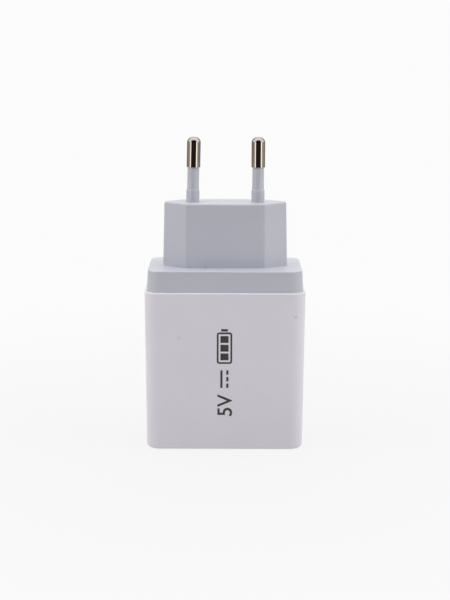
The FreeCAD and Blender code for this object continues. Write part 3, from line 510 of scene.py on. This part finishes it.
def battery(bm, start):
    """A cell lying along the reading direction: outline, terminal and charge bars."""
    half = BATTERY_WIDE / 2
    end = start + BATTERY_LONG
    others = set(bm.faces)
    case = bar(bm, (start, -half), (end, half))
    bmesh.ops.bevel(bm, geom=case, offset=BATTERY_ROUND, segments=BATTERY_STEPS, profile=0.5,
                    affect="VERTICES", material=-1)
    inside = [face for face in bm.faces if face not in others]
    bmesh.ops.inset_region(bm, faces=inside, thickness=BATTERY_LINE, use_even_offset=True,
                           use_boundary=True)
    bmesh.ops.delete(bm, geom=inside, context="FACES_ONLY")
    nub = end + BAR_GAP / 2
    nub_long, nub_wide = BATTERY_NUB
    bar(bm, (nub, -nub_wide / 2), (nub + nub_long, nub_wide / 2))
    inner = BATTERY_LINE + BAR_GAP
    room = BATTERY_LONG - 2 * inner
    pitch = (room + BAR_GAP) / BATTERY_BARS
    for place in range(BATTERY_BARS):
        low = start + inner + place * pitch
        bar(bm, (low, inner - half), (low + pitch - BAR_GAP, half - inner))


def place_on_front():
    """From millimetres along and across the print to its place on the leaning front."""
    lowest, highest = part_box("main_housing")
    lean = (highest.z - PRINT_FOOT * MM) * math.tan(BODY_DRAFT)
    foot = Vector((PRINT_MIDDLE * MM, lowest.y + lean, PRINT_FOOT * MM))
    along = Vector((0, -math.sin(BODY_DRAFT), math.cos(BODY_DRAFT)))
    across = Vector((-1, 0, 0))
    turn = Matrix((along, across, along.cross(across))).transposed().to_4x4()
    return Matrix.Translation(foot) @ turn @ Matrix.Scale(MM, 4)


def printed_marks():
    """Marks on the front that read upwards: voltage, supply sign and a battery."""
    bm = bmesh.new()
    end = numerals(bm, 0.0)
    end = supply_sign(bm, end + PRINT_GAP)
    battery(bm, end + PRINT_GAP)
    bmesh.ops.remove_doubles(bm, verts=bm.verts, dist=PRINT_WELD)
    top = bmesh.ops.extrude_face_region(bm, geom=bm.faces[:])["geom"]
    raised = [item for item in top if isinstance(item, bmesh.types.BMVert)]
    bmesh.ops.translate(bm, verts=raised, vec=(0, 0, PRINT_THICK))
    bmesh.ops.transform(bm, matrix=place_on_front(), verts=bm.verts)
    bmesh.ops.recalc_face_normals(bm, faces=bm.faces)
    piece = add_object("printed_marks", bm, finish("print_ink", ink))
    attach(piece, "root")


def add_object(name, bm, material):
    """A mesh of one material, put in the scene."""
    mesh = bpy.data.meshes.new(name)
    bm.to_mesh(mesh)
    bm.free()
    mesh.materials.append(material)
    made = bpy.data.objects.new(name, mesh)
    bpy.context.scene.collection.objects.link(made)
    return made


def sweep():
    """The floor, a wide disc."""
    bm = bmesh.new()
    bmesh.ops.create_circle(bm, cap_ends=True, segments=FLOOR_SIDES, radius=FLOOR_RADIUS)
    bmesh.ops.translate(bm, verts=bm.verts, vec=(0, 0, -FLOOR_DROP))
    floor = add_object("floor", bm, floor_white())


def floor_white():
    """White that melts into the backdrop, keeps a faint shadow and is open from below, with
    painted bounce light and painted shade near the charger.
    """
    material = bpy.data.materials.new("floor_white")
    tree = empty_tree(material)
    start = Field(tree)
    radius = start.add("ShaderNodeTexCoord", output="Object").away_from((0, 0, 0))
    # Its glow to other rays is painted bounce light for the charger, painted darker near it as its
    # shadow.
    near, far = (lamp(level, CLEAR) for level in FLOOR_BOUNCE)
    bounce = radius.rise(*FLOOR_PAINTED_SHADOW_SPAN).between(near, far)
    # What the camera sees is painted a little darker near the charger, as shade.
    shown = radius.rise(*FLOOR_PAINTED_SHADE_SPAN).between(*map(grey, FLOOR_WHITE))
    looked_at = start.camera_ray().larger(start.mirror_ray())
    glow = start.add("ShaderNodeEmission", None, {"Color": looked_at.between(bounce, shown)})
    paper = start.add("ShaderNodeBsdfDiffuse", None, {"Color": grey(FLOOR_PAPER)})
    white = start.add("ShaderNodeMixShader", None, {0: FLOOR_SHADOW, 1: glow, 2: paper})
    under = start.add("ShaderNodeNewGeometry", output="Backfacing")
    open_share = radius.rise(*FLOOR_FADE).larger(under)
    clear = start.add("ShaderNodeBsdfTransparent")
    seen = start.add("ShaderNodeMixShader", None, {0: open_share, 1: white, 2: clear})
    feed(tree, tree.nodes.new("ShaderNodeOutputMaterial"), {"Surface": seen})
    return material


def studio():
    """Soft overhead light, two strips at the sides, a dim room behind the camera, a backdrop."""
    world = bpy.data.worlds.new("studio")
    bpy.context.scene.world = world
    tree = empty_tree(world)
    x, y, z = Field(tree).add("ShaderNodeTexCoord", output="Generated").split()
    lift = SWING_LIFT * z
    swing = (x * x + lift * lift).root().angle_over(-y) / math.pi
    room, upper, roof = (swing.ramp(lamps(rows)) for rows in (ROOM, UPPER, ROOF))
    light = z.rise(*ROOM_TOP).between(room, z.rise(*ROOF_EDGE).between(upper, roof))
    lit = light.add("ShaderNodeBackground", None, {"Color": light, "Strength": 1 + SIDE_LEAN * x})
    backdrop = light.add("ShaderNodeBackground", None, {"Color": grey(BACKDROP_WHITE)})
    shown = light.camera_ray().larger(light.mirror_ray() * y.rise(*BACKDROP_CONE))
    both = light.add("ShaderNodeMixShader", None, {0: shown, 1: lit, 2: backdrop})
    feed(tree, tree.nodes.new("ShaderNodeOutputWorld"), {"Surface": both})


def camera():
    """The photograph's viewpoint."""
    data = bpy.data.cameras.new("camera")
    data.lens = LENS
    view = bpy.data.objects.new("camera", data)
    bpy.context.scene.collection.objects.link(view)
    tilt = Matrix.Rotation(math.pi / 2 - CAMERA_PITCH, 4, "X")
    roll = Matrix.Rotation(CAMERA_ROLL, 4, "Z")
    view.matrix_world = Matrix.Translation(CAMERA_PLACE) @ tilt @ roll
    bpy.context.scene.camera = view


bpy.context.scene.view_settings.view_transform = "Standard"
camera()
sweep()
studio()
dress_nodes()
printed_marks()
